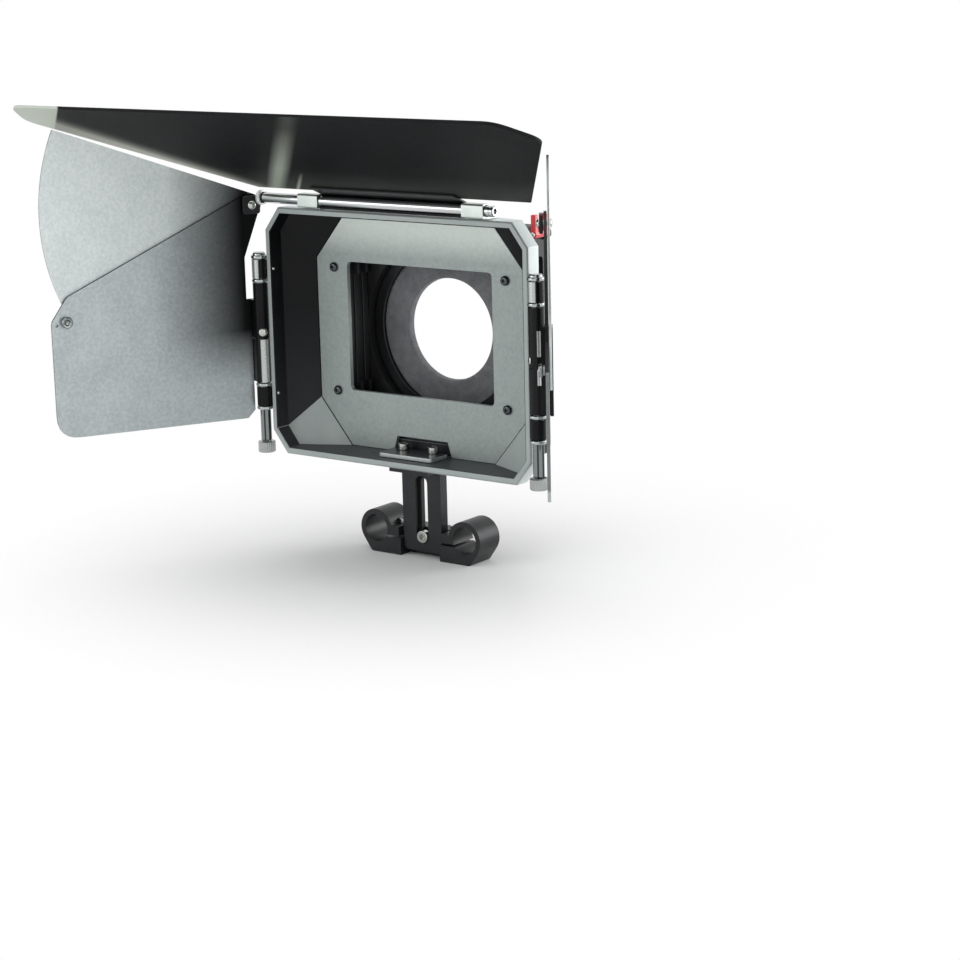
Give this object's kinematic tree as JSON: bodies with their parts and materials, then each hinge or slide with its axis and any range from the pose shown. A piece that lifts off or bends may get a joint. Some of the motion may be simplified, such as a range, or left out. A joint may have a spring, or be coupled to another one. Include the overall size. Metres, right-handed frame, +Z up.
{
  "type": "matte box",
  "caption": "Camera matte box: hood with mask plate and filter trays, foam lens donut, folding top and side flags, on a post and clamp for two 15 mm rods.",
  "frame": {"origin": "midway between the axes of the two support rods, in the middle of the rod clamp's depth", "axes": "+Z up, +X to the right seen from in front of the camera, +Y back towards the lens and camera; the optical axis runs along Y at z = 0.108 m"},
  "size_m": [0.3288, 0.1762, 0.2514],
  "materials": {
    "hood_plastic": "satin",
    "mask_paint": "satin",
    "stage_plastic": "satin",
    "tray_paint": "satin",
    "flag_paint": "satin",
    "black_anodised": "satin",
    "satin_aluminium": "satin",
    "foot_paint": "satin",
    "rod_chrome": "polished",
    "screw_steel": "gloss",
    "knob_steel": "satin",
    "grey_foam": "matte",
    "latch_red": "satin"
  },
  "bodies": {
    "clamp": {"rod_clamp": "black_anodised", "rod_clamp_screw_left": "screw_steel", "rod_clamp_screw_right": "screw_steel", "height_bolt": "screw_steel"},
    "box": {"hood_shell": "hood_plastic", "mask_plate": "mask_paint", "mask_screw_1": "screw_steel", "mask_screw_2": "screw_steel", "mask_screw_3": "screw_steel", "mask_screw_4": "screw_steel", "filter_stage": "stage_plastic", "tray_latch_pin": "screw_steel", "rear_collar": "black_anodised", "donut_ring": "black_anodised", "donut_foam": "grey_foam", "foot_plate": "foot_paint", "foot_screw_left": "screw_steel", "foot_screw_right": "screw_steel", "support_post": "black_anodised", "top_bracket_left": "satin_aluminium", "top_bracket_right": "satin_aluminium", "left_hinge_rod": "rod_chrome", "left_hinge_bracket_upper": "black_anodised", "left_hinge_bracket_lower": "black_anodised", "right_hinge_rod": "rod_chrome", "right_hinge_bracket_upper": "black_anodised", "right_hinge_bracket_lower": "black_anodised"},
    "tray_front": {"filter_tray_front": "tray_paint"},
    "tray_rear": {"filter_tray_rear": "tray_paint"},
    "latch": {"tray_latch": "latch_red"},
    "top_shade": {"top_flag": "flag_paint", "top_leaf": "black_anodised", "top_rod": "rod_chrome"},
    "top_knob": {"top_rod_knob": "knob_steel"},
    "left_shade": {"left_leaf_upper": "black_anodised", "left_leaf_lower": "satin_aluminium", "left_leaf_screw": "screw_steel", "left_flag": "flag_paint", "left_fan_boss": "black_anodised", "left_fan_pin": "screw_steel", "left_flag_stud": "screw_steel"},
    "left_fan_body": {"left_fan": "flag_paint"},
    "left_knob": {"left_hinge_knob": "knob_steel"},
    "right_shade": {"right_leaf_upper": "black_anodised", "right_leaf_lower": "satin_aluminium", "right_leaf_screw": "screw_steel", "right_flag": "flag_paint", "right_fan_boss": "black_anodised", "right_fan_pin": "screw_steel", "right_flag_stud": "screw_steel"},
    "right_fan_body": {"right_fan": "flag_paint"},
    "right_knob": {"right_hinge_knob": "knob_steel"}
  },
  "joints": [
    {"name": "height_slide", "type": "slide", "parent": "clamp", "child": "box", "axis": [0, 0, 1], "range_m": [-0.025, 0]},
    {"name": "tray_front_slide", "type": "slide", "parent": "box", "child": "tray_front", "axis": [0, 0, 1], "range_m": [0, 0.1]},
    {"name": "tray_rear_slide", "type": "slide", "parent": "box", "child": "tray_rear", "axis": [0, 0, 1], "range_m": [0, 0.1]},
    {"name": "latch_pivot", "type": "hinge", "parent": "box", "child": "latch", "pos_m": [0.0701, 0.009, 0.1658], "axis": [0, -1, 0], "range_deg": [0, 45]},
    {"name": "top_flag_hinge", "type": "hinge", "parent": "box", "child": "top_shade", "pos_m": [0, -0.0248, 0.1808], "axis": [-1, 0, 0], "range_deg": [0, 55]},
    {"name": "top_knob_turn", "type": "hinge", "parent": "top_shade", "child": "top_knob", "pos_m": [-0.0897, -0.0248, 0.1808], "axis": [1, 0, 0], "continuous": true},
    {"name": "left_flag_hinge", "type": "hinge", "parent": "box", "child": "left_shade", "pos_m": [-0.0919, -0.0265, 0.09], "axis": [0, 0, 1], "range_deg": [0, 50]},
    {"name": "left_fan_pivot", "type": "hinge", "parent": "left_shade", "child": "left_fan_body", "pos_m": [-0.09293, -0.02844, 0.1766], "axis": [0.8829, -0.4695, 0], "range_deg": [0, 45]},
    {"name": "left_knob_turn", "type": "hinge", "parent": "box", "child": "left_knob", "pos_m": [-0.0919, -0.0265, 0.0426], "axis": [0, 0, 1], "continuous": true},
    {"name": "right_flag_hinge", "type": "hinge", "parent": "box", "child": "right_shade", "pos_m": [0.0919, -0.0265, 0.09], "axis": [0, 0, -1], "range_deg": [0, 60]},
    {"name": "right_fan_pivot", "type": "hinge", "parent": "right_shade", "child": "right_fan_body", "pos_m": [0.09315, -0.02831, 0.1766], "axis": [0.8241, 0.5664, 0], "range_deg": [0, 45]},
    {"name": "right_knob_turn", "type": "hinge", "parent": "box", "child": "right_knob", "pos_m": [0.0919, -0.0265, 0.0426], "axis": [0, 0, 1], "continuous": true}
  ]
}
